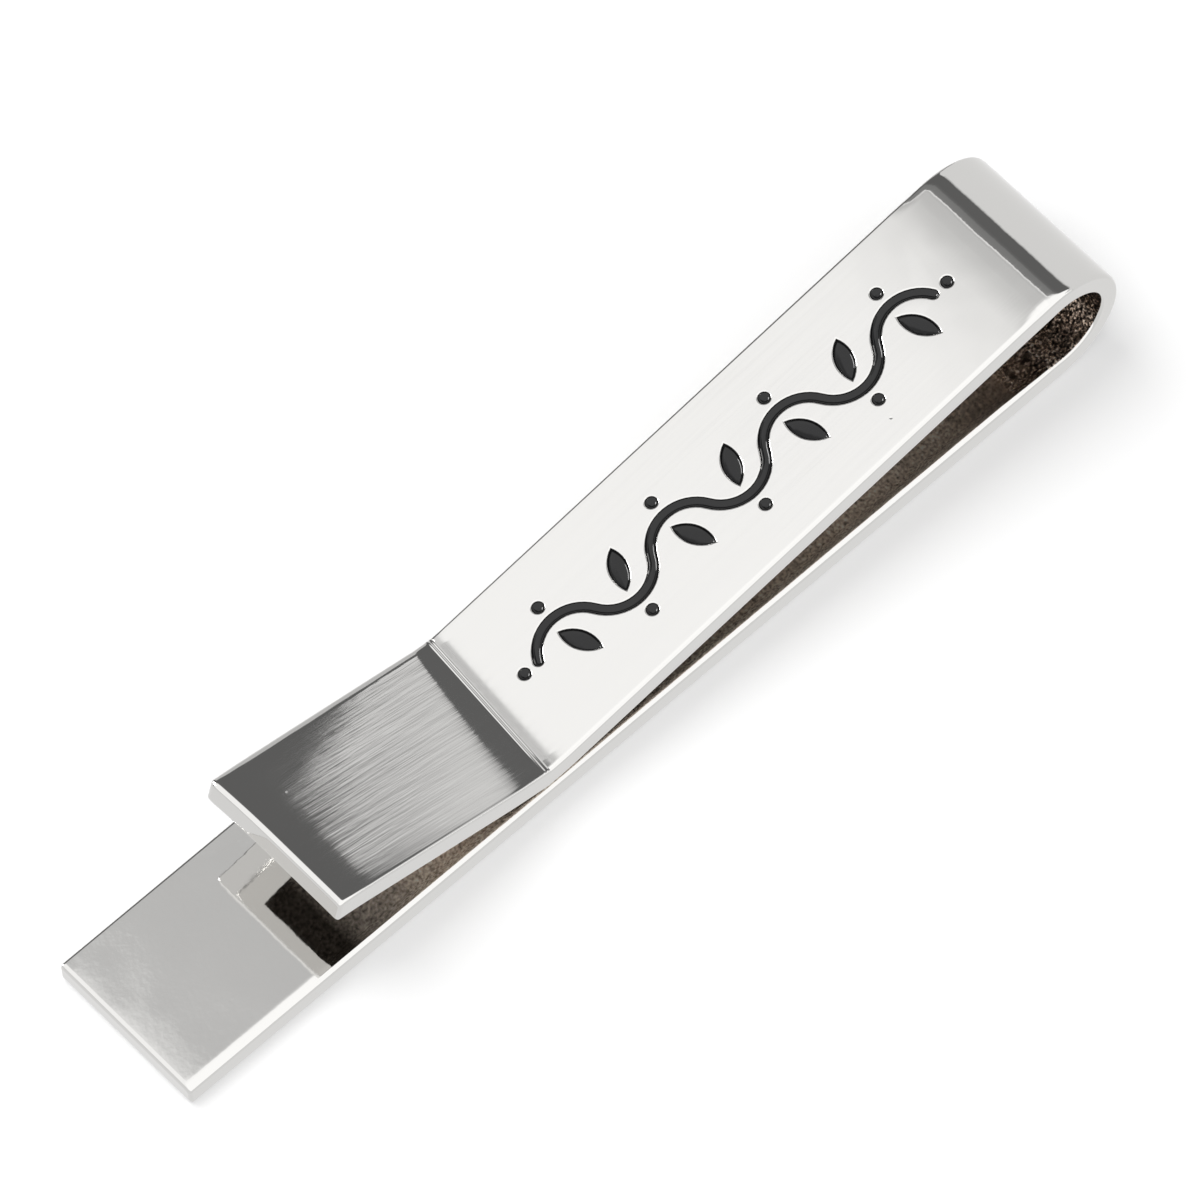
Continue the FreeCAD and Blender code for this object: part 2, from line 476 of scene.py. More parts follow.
front_plate = add_strip("front_leg", 0, front_length)
score_crown()
score(lengthwise, [hollow_row * row for row in range(1, hollow_rows + 1)])
score(lengthwise, [front_length - settle_run * row / settle_rows for row in range(1, settle_rows + 1)])
fold_end(front_plate, 1)
for vertex in front_plate.data.vertices:
    vertex.co.y = rolled_place(vertex.co.y, roll_near, roll_far)
    to_bow = max(0, vertex.co.x - front_length + settle_run) / settle_run
    fall = across_strip(settle_near, settle_far, vertex.co.y)
    if vertex.co.z > -strip_thickness / 2:
        fall += crown_fall(vertex.co.y, front_crown_near, front_crown_far)
    lift = hollow_lift(max(0, vertex.co.x), vertex.co.y)
    vertex.co.z += lift - fall * to_bow ** 2
    vertex.co.x += lift * mitre_lean
place_leg(front_plate, -front_slope)
skew_crease(front_plate, hollow_row * hollow_rows)
print(front_plate.name, len(front_plate.data.vertices), "points")

# %% [markdown]
# ## Lip
#
# The lip is the part of the strip that shows its making: the folding tool left a tilted band beside
# the crease with two fine beads on it, and buffing rolled the nose and the far edge down a little.
# The far edge is rolled wide, and the near edge less than half as wide. These are small fractions of
# a millimetre, but on a mirror they decide what each spot reflects. So the lip is scored into a fine
# grid, and every point is moved up or down by a formula.

# %% Form of the lip
band_rise = 0.12
band_far, band_near = 1.06, 1.93
band_soft_far, band_soft_near = 0.06, 0.45
bead_width = 0.20
bead_count = 2
bead_height = 0.030
bead_fade = 1.2
nose_run, nose_drop = 2.0, 0.08
far_run, far_drop, far_growth = 4.0, 0.185, 1.8
near_run, near_drop, near_growth = 1.1, 0.035, 3.0


def lip_lift(away, y):
    """How far a point of the lip stands above a flat lip, by its distance from the crease and its side."""
    past_band = 1 - away / across_strip(band_near, band_far, y)
    softness = across_strip(band_soft_near, band_soft_far, y)
    lift = band_rise * (past_band + hypot(past_band, softness)) / 2
    if away < bead_width * bead_count:
        grown = min(1, (half_width + y) / bead_fade)
        lift += bead_height * grown * (1 - cos(2 * pi * away / bead_width)) / 2
    to_nose = max(0, away - lip_length + nose_run) / nose_run
    to_far = max(0, y - half_width + far_run) / far_run
    to_near = max(0, -y - half_width + near_run) / near_run
    lift -= nose_drop * to_nose ** 2
    lift -= far_drop * to_far ** 2 * (away / lip_length) ** far_growth
    return lift - near_drop * to_near ** 2 * (away / lip_length) ** near_growth


print(f"lip with a band of {band_near} mm at the near edge and {band_far} mm at the far edge")

# %% Lip
lip_roll_near, lip_roll_far = 0.22, 0.50
nose_roll_length = 0.24
bead_row_count = 16
band_row, band_row_numbers = 0.1, range(5, 26)
lip_row, lip_row_numbers = 0.4, range(7, 33)
lip_column_numbers = range(-9, 10)

lip = add_strip("lead_in_lip_strip", -lip_length + nose_roll_length, 0)
roll_free_end(lip, -1, nose_roll_length)
bead_row = bead_width * bead_count / bead_row_count
score(lengthwise, [-bead_row * step for step in range(1, bead_row_count + 1)])
score(lengthwise, [-band_row * number for number in band_row_numbers])
score(lengthwise, [-lip_row * number for number in lip_row_numbers])
score(crosswise, [lip_row * number for number in lip_column_numbers])
fold_end(lip, -1)
for vertex in lip.data.vertices:
    vertex.co.y = rolled_place(vertex.co.y, lip_roll_near, lip_roll_far)
    away, y = max(0, -vertex.co.x), vertex.co.y
    crease_lift = hollow_lift(0, y)
    vertex.co.z += lip_lift(away, y) - lip_lift(0, y) + crease_lift
    vertex.co.x -= crease_lift * mitre_lean
place_leg(lip, lip_angle)
skew_crease(lip, lip_length)
print(lip.name, len(lip.data.vertices), "points")
finish_metal(lip, flat_faces=False)

# %% [markdown]
# ## Recesses
#
# The recesses were struck into the face. The frame has the enamel as plain flat fills, so a copy of
# each fill, stretched upwards, is the cutter for its recess: a Boolean takes it out of the leg, and
# the rim gets a small bevel, which catches the light as the real struck rim does.

# %% Recesses
enamel_nodes = ("enamel_vine", "enamel_leaves", "enamel_berries")
cutter_height = 0.6
fill_merge = 0.001
flat_within = radians(0.5)


def faces_up(face):
    """Whether a face of the enamel looks the way the front leg's face does."""
    return face.normal.dot(above_front) > nearly_same


def copy_fill(node, name):
    """A merged copy of a frame node, in millimetres and left in edit mode."""
    fill = bpy.data.objects.new(name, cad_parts[node].data.copy())
    bpy.context.scene.collection.objects.link(fill)
    fill.data.transform(Matrix.Scale(1 / MM, 4))
    activate(fill)
    bpy.ops.mesh.customdata_custom_splitnormals_clear()
    bpy.ops.object.mode_set(mode="EDIT")
    bpy.ops.mesh.select_all(action="SELECT")
    bpy.ops.mesh.remove_doubles(threshold=fill_merge)
    bpy.ops.mesh.dissolve_limited(angle_limit=flat_within)
    return fill


for node in enamel_nodes:
    cutter = copy_fill(node, "recess_cutter")
    choose(cutter, "FACE", faces_up)
    bpy.ops.transform.translate(value=above_front * cutter_height)
    bpy.ops.object.mode_set(mode="OBJECT")
    activate(front_plate)
    recess = front_plate.modifiers.new("recess", "BOOLEAN")
    recess.operation = "DIFFERENCE"
    recess.solver = "EXACT"
    recess.object = cutter
    bpy.ops.object.modifier_apply(modifier=recess.name)
    bpy.data.objects.remove(cutter)
print(front_plate.name, len(front_plate.data.polygons), "faces with its recesses")

# %% Rims of the recesses
rim_round = 0.08
rim_steps = 3
rim_height_margin = 0.01
rim_bow_margin = 0.1
wall_slope = 0.3


def on_rim(edge):
    """Whether an edge lies between the flat face and the wall of a recess."""
    if len(edge.link_faces) != 2:
        return False
    slopes = sorted(face.normal.dot(above_front) for face in edge.link_faces)
    from_crease = (edge.verts[0].co + edge.verts[1].co) / 2 - crease
    level_with_face = abs(from_crease.dot(above_front)) < rim_height_margin
    before_bow = from_crease.dot(along_front) < front_length - rim_bow_margin
    return slopes[0] < wall_slope and slopes[1] > quite_same and level_with_face and before_bow


bpy.ops.object.mode_set(mode="EDIT")
rim_edges = choose(front_plate, "EDGE", on_rim)
bpy.ops.mesh.bevel(offset=rim_round, segments=rim_steps, affect="EDGES", clamp_overlap=False)
print("recess rims:", rim_edges, "edges")
finish_metal(front_plate)

# %% [markdown]
# ## Enamel
#
# The enamel was poured into the recesses and drew back as it set, so it is lowest in the middle of
# each stroke and creeps up the walls. The top face of a fill is lowered to the wet line and inset in
# steps that go down along a parabola, which gives that hollow top. Wide insets would cross at a leaf's
# pointed ends, so there the strip that creeps up is narrower, and the middle stays flat.

# %% Enamel
wet_line_depth = 0.10
meniscus_depth = 0.13
meniscus_steps = 7
meniscus_widths = {"enamel_vine": 0.235, "enamel_leaves": 0.15, "enamel_berries": 0.235}
smooth_enamel_angle = radians(50)

enamel_pieces = []
for node in enamel_nodes:
    fill = copy_fill(node, node + "_glaze")
    choose(fill, "FACE", faces_up)
    bpy.ops.transform.translate(value=above_front * -wet_line_depth)
    for step in range(meniscus_steps):
        left, next_left = 1 - step / meniscus_steps, 1 - (step + 1) / meniscus_steps
        drop = meniscus_depth * (left ** 2 - next_left ** 2)
        inset = meniscus_widths[node] / meniscus_steps
        bpy.ops.mesh.inset(thickness=inset, depth=-drop, use_even_offset=True)
    bpy.ops.object.mode_set(mode="OBJECT")
    activate(fill)
    bpy.ops.object.shade_smooth_by_angle(angle=smooth_enamel_angle)
    scale_to_metres(fill)
    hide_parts(node)
    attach(fill, "front")
    enamel_pieces.append(fill)

# %% [markdown]
# ## Materials
#
# One function turns a colour as a designer writes it, in sRGB hex, into the linear numbers that the
# renderer wants, and one adds a node with its settings and links. The others draw the marks that a
# plated strip carries: relief in layers, uneven roughness and pinholes, all on Object coordinates and
# with their sizes in millimetres.

# %% Helpers for materials
white_paint = "#FFFFFF"


def paint(code):
    """Linear RGBA of an sRGB hex colour."""
    channels = [int(code[start:start + 2], 16) / 255 for start in (1, 3, 5)]
    return [c / 12.92 if c <= 0.04045 else ((c + 0.055) / 1.055) ** 2.4 for c in channels] + [1.0]


def add_node(tree, kind, inputs=None, **settings):
    """Add a node, set its options, and give each input a value or a link."""
    node = tree.nodes.new(kind)
    for name, value in settings.items():
        setattr(node, name, value)
    for name, value in (inputs or {}).items():
        if isinstance(value, bpy.types.NodeSocket):
            tree.links.new(value, node.inputs[name])
        else:
            node.inputs[name].default_value = value
    return node


def new_material(name):
    """An empty material and its node tree."""
    material = bpy.data.materials.new(name)
    material.use_nodes = True
    material.node_tree.nodes.clear()
    return material, material.node_tree


def place_parts(tree):
    """The X, Y and Z of a point in Object coordinates, as outputs of one node."""
    place = add_node(tree, "ShaderNodeTexCoord")
    return add_node(tree, "ShaderNodeSeparateXYZ", {"Vector": place.outputs["Object"]}).outputs


print("helpers: paint, add_node, new_material, place_parts")

# %% Marks in the plate
noise_low, noise_high = 0.3, 0.7
pit_floor = 0.4


def strip_noise(tree, across, along, detail=2.0):
    """Noise drawn out along the strip, its grain given in millimetres."""
    place = add_node(tree, "ShaderNodeTexCoord")
    stretch = (1 / (along * MM), 1 / (across * MM), 1 / (along * MM))
    mapped = add_node(tree, "ShaderNodeMapping", {"Vector": place.outputs["Object"], "Scale": stretch})
    noise = add_node(tree, "ShaderNodeTexNoise", {
        "Vector": mapped.outputs["Vector"], "Scale": 1.0, "Detail": detail})
    return noise.outputs["Fac"]


def relief(tree, layers):
    """A normal bumped by layers of height from 0 to 1, each with its depth in millimetres."""
    normal = None
    for height, depth in layers:
        inputs = {"Height": height, "Strength": 1.0, "Distance": depth * MM}
        if normal:
            inputs["Normal"] = normal
        normal = add_node(tree, "ShaderNodeBump", inputs).outputs["Normal"]
    return normal


def pinholes(tree, spacing, radius):
    """Height of a plate with pinholes, far apart and in no order, their sizes given in millimetres."""
    place = add_node(tree, "ShaderNodeTexCoord")
    cells = add_node(tree, "ShaderNodeTexVoronoi", {
        "Vector": place.outputs["Object"], "Scale": 1 / (spacing * MM)})
    pit = add_node(tree, "ShaderNodeMapRange", {
        "Value": cells.outputs["Distance"],
        "From Min": pit_floor * radius / spacing, "From Max": radius / spacing})
    return pit.outputs["Result"]


def uneven_roughness(tree, across, along, low, high):
    """Roughness between two values, in patches drawn out along the strip."""
    rough = add_node(tree, "ShaderNodeMapRange", {
        "Value": strip_noise(tree, across, along), "From Min": noise_low, "From Max": noise_high,
        "To Min": low, "To Max": high})
    return rough.outputs["Result"]


def plate_metal(tree, colour, roughness, normal):
    """Close a metal's tree with its shader and output."""
    shader = add_node(tree, "ShaderNodeBsdfPrincipled", {
        "Base Color": colour, "Metallic": 1.0, "Roughness": roughness, "Normal": normal})
    add_node(tree, "ShaderNodeOutputMaterial", {"Surface": shader.outputs["BSDF"]})


print("marks: strip_noise, relief, pinholes, uneven_roughness")

# %% [markdown]
# ## Polished nickel plate
#
# Bright nickel over buffed brass is a mirror, but not a perfect one. Slow waves from the wheel bend
# the reflections, a faint peel from the plating roughens their edges, and a few pinholes catch the
# light. The bow was stretched in bending, so its peel is drawn out and deeper.

# %% Polished nickel plate
nickel_colour = "#CFCECC"


def polished_nickel(name, colour=nickel_colour, peel_length=0.40, peel_depth=0.0013):
    """Bright nickel plate over buffed brass: a mirror with slow waves, a faint peel and a few pinholes."""
    material, tree = new_material(name)
    waves = (strip_noise(tree, 1.6, 2.4, detail=0.0), 0.010)
    peel = (strip_noise(tree, 0.35, peel_length), peel_depth)
    pits = (pinholes(tree, 2.6, 0.07), 0.012)
    normal = relief(tree, [waves, peel, pits])
    plate_metal(tree, paint(colour), uneven_roughness(tree, 1.5, 4.0, 0.03, 0.06), normal)
    return material


polished = polished_nickel("polished_nickel_plate")
polished_bent = polished_nickel("bent_nickel_plate", peel_length=0.80, peel_depth=0.0036)
# A lighter copy of the polished plate for the buffed margins under the lip: painted light that brightens
# them and their reflection in the back leg.
lightened_polished_under = polished_nickel("lightened_underside_nickel_plate", colour="#E6E5E3")
print("materials:", polished.name, polished_bent.name, lightened_polished_under.name)

# %% [markdown]
# ## Buffed and satin nickel plate
#
# The lip's upper face was buffed along the strip. It is still a mirror, but its streaks feather the
# edges of its images. The front face was brushed finer and more evenly, so it has no clear images: its
# lines spread a reflection sideways. Towards the bow the brushing runs out and the gloss returns.

# %% Buffed and satin nickel plate
brushing_fades_from, brushing_ends = 12, 24
unbrushed_roughness = 0.05


def buffed_nickel():
    """Nickel plate over a face buffed along the strip: a mirror with streaks that feather its images."""
    material, tree = new_material("buffed_nickel_plate")
    waves = (strip_noise(tree, 2.0, 3.0, detail=1.0), 0.002)
    streaks = (strip_noise(tree, 0.34, 3.4), 0.0045)
    lines = (strip_noise(tree, 0.10, 2.4), 0.0026)
    pits = (pinholes(tree, 3.2, 0.07), 0.012)
    normal = relief(tree, [waves, streaks, lines, pits])
    plate_metal(tree, paint(nickel_colour), uneven_roughness(tree, 0.3, 5.0, 0.05, 0.08), normal)
    return material


def satin_nickel():
    """Nickel plate over a face brushed along the strip: fine lines that spread a reflection sideways."""
    material, tree = new_material("satin_nickel_plate")
    waves = (strip_noise(tree, 2.0, 3.0, detail=1.0), 0.004)
    lines = (strip_noise(tree, 0.07, 6.0), 0.0008)
    pits = (pinholes(tree, 3.4, 0.08), 0.015)
    normal = relief(tree, [waves, lines, pits])
    brushed = uneven_roughness(tree, 0.15, 8.0, 0.09, 0.15)
    rough = add_node(tree, "ShaderNodeMapRange", {
        "Value": place_parts(tree)["X"],
        "From Min": brushing_fades_from * MM, "From Max": brushing_ends * MM,
        "To Min": brushed, "To Max": unbrushed_roughness})
    plate_metal(tree, paint("#D1D0CE"), rough.outputs["Result"], normal)
    return material


buffed, satin = buffed_nickel(), satin_nickel()
print("materials:", buffed.name, satin.name)

# %% [markdown]
# ## Unpolished nickel plate
#
# No wheel reaches the inside of the fold. There the plate is thin and lies over the grain of the metal,
# so it looks brown. Its colour is painted darker under the nose, and darker again in the bow: painted
# shade where little light reaches. The grain shifts the colour, partly as the plate's own tone and
# partly as painted glints, specks made brighter than plate can be. The grain is drawn coarser than it
# is, so that it shows. A Mix node of colours goes by numbers: sockets 6 and 7 take the two colours, and
# output 2 gives the mixed one.

# %% Unpolished nickel plate
# Painted shade: the plate's colour darkens towards the nose of the lip and towards the bow.
nose_shade_full_at, nose_shade_gone_at = -18, -14
bow_shade_full_at, bow_shade_gone_at = 27, 21
painted_nose_shade_colour, gap_colour, painted_bow_shade_colour = "#2A2622", "#DDD0C4", "#5E554E"
glint_gain = 2.0
first_colour, second_colour, mixed_colour = 6, 7, 2


def raw_nickel(name, grain_size, grain_depth, glint_power, rough_low, rough_high):
    """Thin nickel plate no wheel reached: brown, painted shade at nose and bow, painted glints in the
    grain.
    """
    material, tree = new_material(name)
    along = place_parts(tree)["X"]
    # Painted shade along X: dark under the nose, darker again in the bow, plain brown between.
    nose_shade_fade = add_node(tree, "ShaderNodeMapRange", {
        "Value": along, "From Min": nose_shade_full_at * MM, "From Max": nose_shade_gone_at * MM})
    from_bow = add_node(tree, "ShaderNodeMapRange", {
        "Value": along, "From Min": bow_shade_full_at * MM, "From Max": bow_shade_gone_at * MM})
    left = add_node(tree, "ShaderNodeMix", {
        "Factor": nose_shade_fade.outputs["Result"],
        first_colour: paint(painted_nose_shade_colour), second_colour: paint(gap_colour)}, data_type="RGBA")
    plain = add_node(tree, "ShaderNodeMix", {
        "Factor": from_bow.outputs["Result"],
        first_colour: paint(painted_bow_shade_colour), second_colour: left.outputs[mixed_colour]}, data_type="RGBA")
    # The grain shifts the colour: partly the plate's own tone, partly painted glints where specks are made
    # brighter than any plate.
    grain = strip_noise(tree, grain_size, grain_size, detail=1.0)
    gain = add_node(tree, "ShaderNodeMath", {0: grain, 1: glint_gain}, operation="MULTIPLY")
    facets = add_node(tree, "ShaderNodeMath", {0: gain.outputs[0], 1: glint_power}, operation="POWER")
    colour = add_node(tree, "ShaderNodeMix", {
        "Factor": 1.0, first_colour: plain.outputs[mixed_colour], second_colour: facets.outputs[0]},
        data_type="RGBA", blend_type="MULTIPLY")
    normal = relief(tree, [(grain, grain_depth)])
    roughness = uneven_roughness(tree, 0.3, 0.5, rough_low, rough_high)
    plate_metal(tree, colour.outputs[mixed_colour], roughness, normal)
    return material


raw = raw_nickel("unpolished_nickel_with_painted_shade", 0.16, 0.010, 1.5, 0.30, 0.44)
raw_in_bow = raw_nickel("coarse_unpolished_nickel_with_painted_shade", 0.14, 0.020, 6.0, 0.20, 0.34)
print("materials:", raw.name, raw_in_bow.name)

# %% [markdown]
# ## Black enamel
#
# Soft enamel is a resin that is poured and cured. It is deep black, with a wet gloss and a faint
# ripple, so a lamp shows in it as a thin bright sliver.

# %% Black enamel
def black_enamel():
    """Soft enamel, poured and cured: deep black with a wet gloss and a faint ripple."""
    material, tree = new_material("gloss_black_enamel")
    ripple = relief(tree, [(strip_noise(tree, 0.4, 0.5, detail=1.0), 0.003)])
    shader = add_node(tree, "ShaderNodeBsdfPrincipled", {
        "Base Color": paint("#080809"), "Metallic": 0.0, "IOR": 1.50, "Specular IOR Level": 0.38,
        "Roughness": 0.06, "Normal": ripple})
    add_node(tree, "ShaderNodeOutputMaterial", {"Surface": shader.outputs["BSDF"]})
    return material


enamel = black_enamel()
print("material:", enamel.name)

# %% [markdown]
# ## Which finish goes where
#
# One strip carries several finishes, and the direction in which a face looks tells which one it got.
# So each piece gets its list of materials, and a small test gives every face the number of its own.

# %% Give each piece its finish
buffed_under_far = 2.0
buffed_under_nose = 12.8
upper_face = 0.95
under_face = -0.5
bow_inside = -0.97


def finish_faces(piece, materials, index_of):
    """Give a piece its materials, and each face the number of its own."""
    piece.data.materials.clear()
    for material in materials:
        piece.data.materials.append(material)
    for face in piece.data.polygons:
        face.material_index = index_of(face)
    print(piece.name, "in", ", ".join(material.name for material in materials))


def bow_face(face):
    """The inside was never buffed, and the brushing of the front leg ends where the bow starts to turn."""
    middle = Vector((face.center.x, 0, face.center.z)) / MM
    brushed = face.normal.dot(above_front) > upper_face and (middle - front_tangent).dot(along_front) < 0
    inside = face.normal.dot((middle - bow_centre).normalized()) < bow_inside
    return 1 if inside else 2 if brushed else 0


def front_face(face):
    """Raw below, brushed above, and polished on the sides and on the walls of the recesses."""
    facing = face.normal.dot(above_front)
    return 1 if facing < under_face else 2 if facing > upper_face else 0


def lip_face(face):
    """The wheel reached round the nose and the far edge, so the underside is only raw between them."""
    facing = face.normal.dot(above_lip)
    if facing > upper_face:
        return 2
    from_crease = face.center / MM - crease
    towards_nose = -from_crease.dot(nose_to_crease)
    buffed_under = from_crease.y > buffed_under_far or towards_nose > buffed_under_nose
    # Buffed margins underneath take the lighter copy of the polished plate, which is painted light.
    return 0 if facing > under_face else 3 if buffed_under else 1


finish_faces(back_plate, [polished], lambda face: 0)
finish_faces(bow, [polished_bent, raw_in_bow, satin], bow_face)
finish_faces(front_plate, [polished, raw, satin], front_face)
finish_faces(lip, [polished, raw, buffed, lightened_polished_under], lip_face)
for fill in enamel_pieces:
    finish_faces(fill, [enamel], lambda face: 0)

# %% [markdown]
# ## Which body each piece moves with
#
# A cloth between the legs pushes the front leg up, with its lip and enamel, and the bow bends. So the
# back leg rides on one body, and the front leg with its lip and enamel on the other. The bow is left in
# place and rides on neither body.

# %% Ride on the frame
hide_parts("back_plate")
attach(back_plate, "back")

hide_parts("spring_bow")
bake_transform(bow)

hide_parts("front_plate")
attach(front_plate, "front")

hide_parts("lead_in_lip")
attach(lip, "front")

# %% [markdown]
# ## Studio
#
# Polished metal shows what stands round it. A white scrim hangs over the clip, brightest over the
# left and on the camera's side, and fades out to the right. White cards stand at the right, and
# between scrim and cards shows a grey tent, darkest at the right. That dark gap is what draws the dark
# bands on the bow and the dark frame on the lip. A strip light at the far left puts bright slivers on
# the enamel.
#
# The floor is white paper. To the camera it is a grey that glows, so that it comes out white and still
# keeps the clip's soft shadow, and in the metal it shows as plain white.

# %% Floor
floor_size = 8.0
floor_drop = 0.02 * MM
floor_lift, far_floor_lift = 0.32, 0.90
floor_lift_from, floor_lift_to = 50 * MM, 200 * MM

bpy.ops.object.select_all(action="DESELECT")
bpy.ops.mesh.primitive_plane_add(size=floor_size, location=(0, 0, -floor_drop))
floor = bpy.context.object
floor.name = "floor"
floor_material, tree = new_material("white_paper")
path = add_node(tree, "ShaderNodeLightPath")
mirrored = add_node(tree, "ShaderNodeMath", {
    0: path.outputs["Is Glossy Ray"], 1: path.outputs["Is Transmission Ray"]}, operation="MAXIMUM")
plain = add_node(tree, "ShaderNodeBsdfDiffuse", {"Color": paint("#F0F0F0")})
shaded = add_node(tree, "ShaderNodeBsdfDiffuse", {"Color": paint("#B4B4B4")})
place = add_node(tree, "ShaderNodeTexCoord")
distance = add_node(tree, "ShaderNodeVectorMath", {0: place.outputs["Object"]}, operation="LENGTH")
lift_level = add_node(tree, "ShaderNodeMapRange", {
    "Value": distance.outputs["Value"], "From Min": floor_lift_from, "From Max": floor_lift_to,
    "To Min": floor_lift, "To Max": far_floor_lift})
glow = add_node(tree, "ShaderNodeEmission", {
    "Color": paint(white_paint), "Strength": lift_level.outputs["Result"]})
seen = add_node(tree, "ShaderNodeAddShader", {0: shaded.outputs[0], 1: glow.outputs[0]})
white = add_node(tree, "ShaderNodeEmission", {"Color": paint(white_paint), "Strength": 1.0})
direct = add_node(tree, "ShaderNodeMixShader", {
    0: path.outputs["Is Camera Ray"], 1: plain.outputs[0], 2: seen.outputs[0]})
paper = add_node(tree, "ShaderNodeMixShader", {
    0: mirrored.outputs[0], 1: direct.outputs[0], 2: white.outputs[0]})
add_node(tree, "ShaderNodeOutputMaterial", {"Surface": paper.outputs[0]})
floor.data.materials.append(floor_material)
print(floor.name, "of", floor_size, "m")

# %% [markdown]
# ## Scrim
#
# A scrim is a sheet of white cloth with lamps behind it. How bright it is changes from the left to the
# right, and the front leg, the crease and the top of the bow each mirror their own part of that change.
# So its levels are set along X, slanted at the near and far ends, and blended into one bright level on
# the camera's side and into the dark at the far right.

# %% Scrim
scrim_height = 300 * MM
scrim_size = 6.0
scrim_levels = ((42, 1.40), (49, 1.12), (56, 0.78), (72, 0.73), (74, 1.15), (79, 1.15), (82, 0.31),
                (132, 0.28), (144, 0.19), (165, 0.165))
scrim_skew = 0.8
scrim_straight_from, scrim_straight_to = 98 * MM, 130 * MM
scrim_near_level = 1.55
near_dims_from, near_dims_to = 90 * MM, 130 * MM
near_ends, ramp_starts = 50 * MM, 112 * MM
far_lean = 0.6
far_dims_from, far_dims_to = 230 * MM, 420 * MM
dark_level = 0.165


def close_as_light(tree, strength):
    """Close a material's tree as plain white light."""
    light = add_node(tree, "ShaderNodeEmission", {"Color": paint(white_paint), "Strength": strength})
    add_node(tree, "ShaderNodeOutputMaterial", {"Surface": light.outputs[0]})


bpy.ops.object.select_all(action="DESELECT")
bpy.ops.mesh.primitive_plane_add(size=scrim_size, location=(0, 0, scrim_height))
scrim = bpy.context.object
scrim.name = "scrim"
scrim_material, tree = new_material("lit_scrim")
parts = place_parts(tree)
straight = add_node(tree, "ShaderNodeClamp", {
    "Value": parts["Y"], "Min": scrim_straight_from, "Max": scrim_straight_to})
off_straight = add_node(tree, "ShaderNodeMath", {
    0: parts["Y"], 1: straight.outputs[0]}, operation="SUBTRACT")
skewed = add_node(tree, "ShaderNodeMath", {
    0: off_straight.outputs[0], 1: scrim_skew, 2: parts["X"]}, operation="MULTIPLY_ADD")
ramp_from, ramp_to = scrim_levels[0][0], scrim_levels[-1][0]
rightwards = add_node(tree, "ShaderNodeMapRange", {
    "Value": skewed.outputs[0], "From Min": ramp_from * MM, "From Max": ramp_to * MM})
ramp = add_node(tree, "ShaderNodeValToRGB", {"Fac": rightwards.outputs["Result"]})
stops = ramp.color_ramp.elements
stops.remove(stops[1])
for index, (x, level) in enumerate(scrim_levels):
    position = (x - ramp_from) / (ramp_to - ramp_from)
    stop = stops[0] if index == 0 else stops.new(position)
    stop.position = position
    stop.color = (level, level, level, 1)
near_right = add_node(tree, "ShaderNodeMapRange", {
    "Value": skewed.outputs[0], "From Min": near_dims_from, "From Max": near_dims_to,
    "To Min": scrim_near_level, "To Max": dark_level}, interpolation_type="SMOOTHSTEP")
near = add_node(tree, "ShaderNodeMapRange", {
    "Value": parts["Y"], "From Min": near_ends, "From Max": ramp_starts,
    "To Min": near_right.outputs["Result"], "To Max": ramp.outputs["Color"]},
    interpolation_type="SMOOTHSTEP")
far_right = add_node(tree, "ShaderNodeMath", {
    0: parts["X"], 1: far_lean, 2: parts["Y"]}, operation="MULTIPLY_ADD")
far = add_node(tree, "ShaderNodeMapRange", {
    "Value": far_right.outputs[0], "From Min": far_dims_from, "From Max": far_dims_to,
    "To Min": near.outputs["Result"], "To Max": dark_level}, interpolation_type="SMOOTHSTEP")
close_as_light(tree, far.outputs["Result"])
scrim.data.materials.append(scrim_material)
scrim.visible_camera = False
print(scrim.name, "hung at", round(scrim_height / MM), "mm with", len(scrim_levels), "levels")

# %% [markdown]
# ## Cards and strip light
#
# The white cards at the right show in the lip's upper face and in the outside of the bow. The nearer
# card fades towards its top, and past a place along Y that fade climbs, so that the far half of the lip
# stays bright. The strip light at the far left is the same kind of card, small and very bright.

# %% Cards at the right and strip light at the far left
fade_lean = 0.6
fade_lean_from = 59
card_corners = ((0, 0), (1, 0), (0, 1), (1, 1))


def add_card(name, level, low_corner, high_corner, fade_from=None, top_level=0.0):
    """An upright card of light between two corners, seen in reflections only, that can fade to its top."""
    low, high = Vector(low_corner) * MM, Vector(high_corner) * MM
    bpy.ops.object.select_all(action="DESELECT")
    bpy.ops.mesh.primitive_plane_add(size=1)
    card = bpy.context.object
    card.name = name
    for vertex, (way, rise) in zip(card.data.vertices, card_corners):
        flat = low.lerp(high, way)
        vertex.co = (flat.x, flat.y, high.z if rise else low.z)
    material, tree = new_material(name + "_light")
    strength = level
    if fade_from:
        parts = place_parts(tree)
        along = add_node(tree, "ShaderNodeMath", {
            0: parts["Y"], 1: fade_lean_from * MM}, operation="MAXIMUM")
        height = add_node(tree, "ShaderNodeMath", {
            0: along.outputs[0], 1: -fade_lean, 2: parts["Z"]}, operation="MULTIPLY_ADD")
        lowered = fade_lean * fade_lean_from * MM
        fade = add_node(tree, "ShaderNodeMapRange", {
            "Value": height.outputs[0], "From Min": fade_from * MM - lowered, "From Max": high.z - lowered,
            "To Min": level, "To Max": top_level})
        strength = fade.outputs["Result"]
    close_as_light(tree, strength)
    card.data.materials.append(material)
    card.visible_camera = False
    card.visible_diffuse = False
    print(card.name, "at level", level)


add_card("right_card", 1.0, (120, -140, 0), (120, 81, 115), fade_from=104, top_level=0.38)
add_card("far_right_card", 0.75, (122, 106, 0), (75, 235, 100))
add_card("strip_light", 18.0, (-85, 220, 60), (-215, 190, 170))

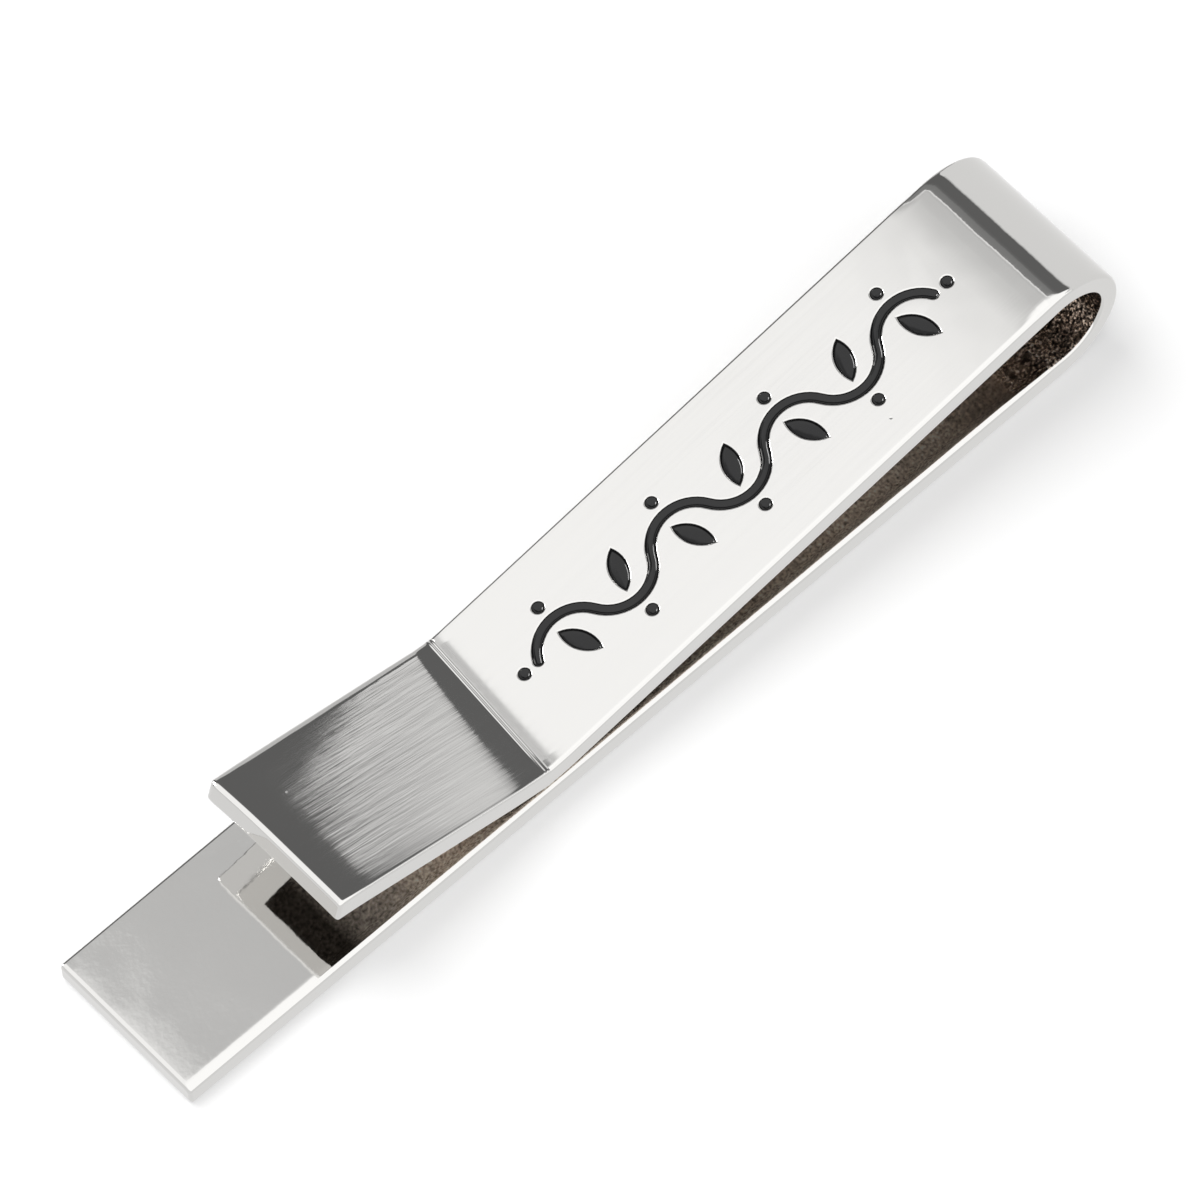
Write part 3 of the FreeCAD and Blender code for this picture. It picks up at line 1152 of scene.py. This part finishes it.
# %% [markdown]
# ## Tent, lamp and room
#
# The grey tent closes the studio. Only reflections see it, pale at the near left and dark at the right.
# One soft lamp casts the clip's shadow, and the metal doesn't mirror it. The room beyond is white to the
# camera, and to metal and glass where no tent stands in the way. It lights the floor as the tent would.

# %% Tent that closes the studio in reflections
tent_radius = 6.0
tent_segments, tent_rings = 64, 32
tent_pale_level = 0.9
tent_pale_at, tent_dark_at = -0.8, -0.1


def tent_level(tree, coordinates, reach):
    """Brightness of the tent, by the direction of a place in coordinates that go out to a reach."""
    place = add_node(tree, "ShaderNodeTexCoord")
    to_right = add_node(tree, "ShaderNodeVectorMath", {
        0: place.outputs[coordinates], 1: (1 / reach, 1 / reach, 0)}, operation="DOT_PRODUCT")
    level = add_node(tree, "ShaderNodeMapRange", {
        "Value": to_right.outputs["Value"], "From Min": tent_pale_at, "From Max": tent_dark_at,
        "To Min": tent_pale_level, "To Max": dark_level})
    return level.outputs["Result"]


bpy.ops.object.select_all(action="DESELECT")
bpy.ops.mesh.primitive_uv_sphere_add(segments=tent_segments, ring_count=tent_rings, radius=tent_radius)
tent = bpy.context.object
tent.name = "grey_tent"
tent_material, tree = new_material("grey_tent_cloth")
close_as_light(tree, tent_level(tree, "Object", tent_radius))
tent.data.materials.append(tent_material)
tent_material.cycles.emission_sampling = "NONE"
tent.visible_camera = False
tent.visible_diffuse = False
tent.visible_shadow = False
print(tent.name, "from level", tent_pale_level, "to", dark_level)

# %% Lamp that casts the soft shadow
lamp_place = Vector((-20, 125, 235)) * MM
lamp_size = 200 * MM
lamp_watts = 0.63

bpy.ops.object.light_add(type="AREA", location=lamp_place)
lamp = bpy.context.object
lamp.name = "soft_lamp"
lamp.rotation_euler = lamp_place.to_track_quat("Z", "Y").to_euler()
lamp.data.size = lamp_size
lamp.data.energy = lamp_watts
lamp.visible_glossy = False
print(lamp.name, "of", lamp_watts, "W")

# %% Room
world = bpy.data.worlds.new("white_room")
bpy.context.scene.world = world
world.use_nodes = True
tree = world.node_tree
tree.nodes.clear()
path = add_node(tree, "ShaderNodeLightPath")
room = add_node(tree, "ShaderNodeBackground", {
    "Color": paint(white_paint), "Strength": tent_level(tree, "Generated", 1)})
white = add_node(tree, "ShaderNodeBackground", {"Color": paint(white_paint), "Strength": 1.0})
mirrored = add_node(tree, "ShaderNodeMath", {
    0: path.outputs["Is Glossy Ray"], 1: path.outputs["Is Transmission Ray"]}, operation="MAXIMUM")
seen = add_node(tree, "ShaderNodeMath", {
    0: path.outputs["Is Camera Ray"], 1: mirrored.outputs[0]}, operation="MAXIMUM")
surround = add_node(tree, "ShaderNodeMixShader", {
    0: seen.outputs[0], 1: room.outputs[0], 2: white.outputs[0]})
add_node(tree, "ShaderNodeOutputWorld", {"Surface": surround.outputs[0]})

bpy.context.scene.view_settings.view_transform = "Standard"
print(world.name, "with", len(tree.nodes), "nodes")
